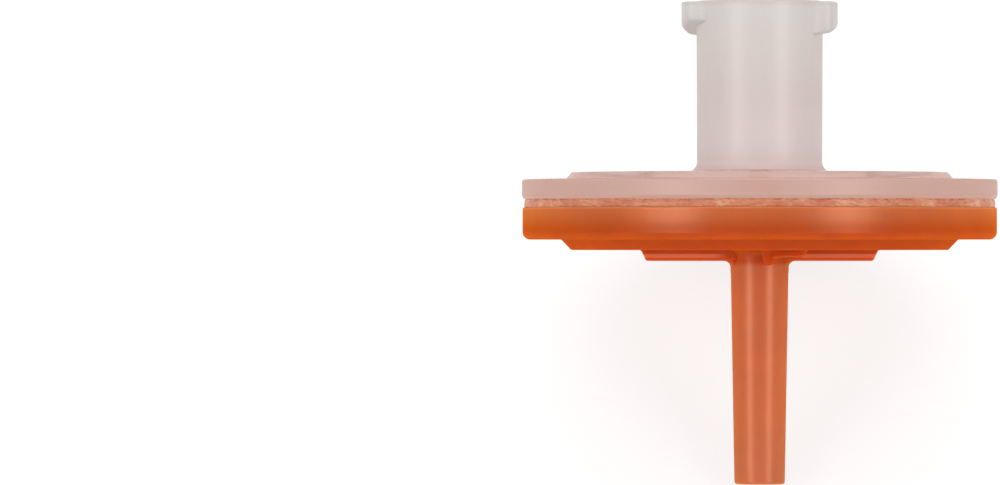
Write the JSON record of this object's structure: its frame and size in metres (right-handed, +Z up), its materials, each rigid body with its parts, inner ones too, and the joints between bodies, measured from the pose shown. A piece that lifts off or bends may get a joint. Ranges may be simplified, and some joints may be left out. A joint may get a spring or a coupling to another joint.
{
  "type": "syringe filter",
  "caption": "Round syringe filter: translucent inlet housing with a Luer-lock hub, orange outlet housing with a thin tapered spout, and a white membrane clamped between them.",
  "frame": {"origin": "middle of the box's base, on the level surface that the filter lies on", "axes": "+Z up; +X along the hub's two lugs and the bar under the disc, both level; the filter's axis lies in the YZ plane, the inlet hub pointing to +Y and up at 40.6 degrees, the spout down to the surface on the -Y side"},
  "size_m": [0.0238, 0.0212, 0.0198],
  "materials": {
    "inlet_polypropylene": "satin",
    "outlet_polypropylene": "satin",
    "membrane": "matte"
  },
  "bodies": {
    "root": {"inlet_housing": "inlet_polypropylene", "outlet_housing": "outlet_polypropylene", "membrane": "membrane"}
  },
  "joints": []
}
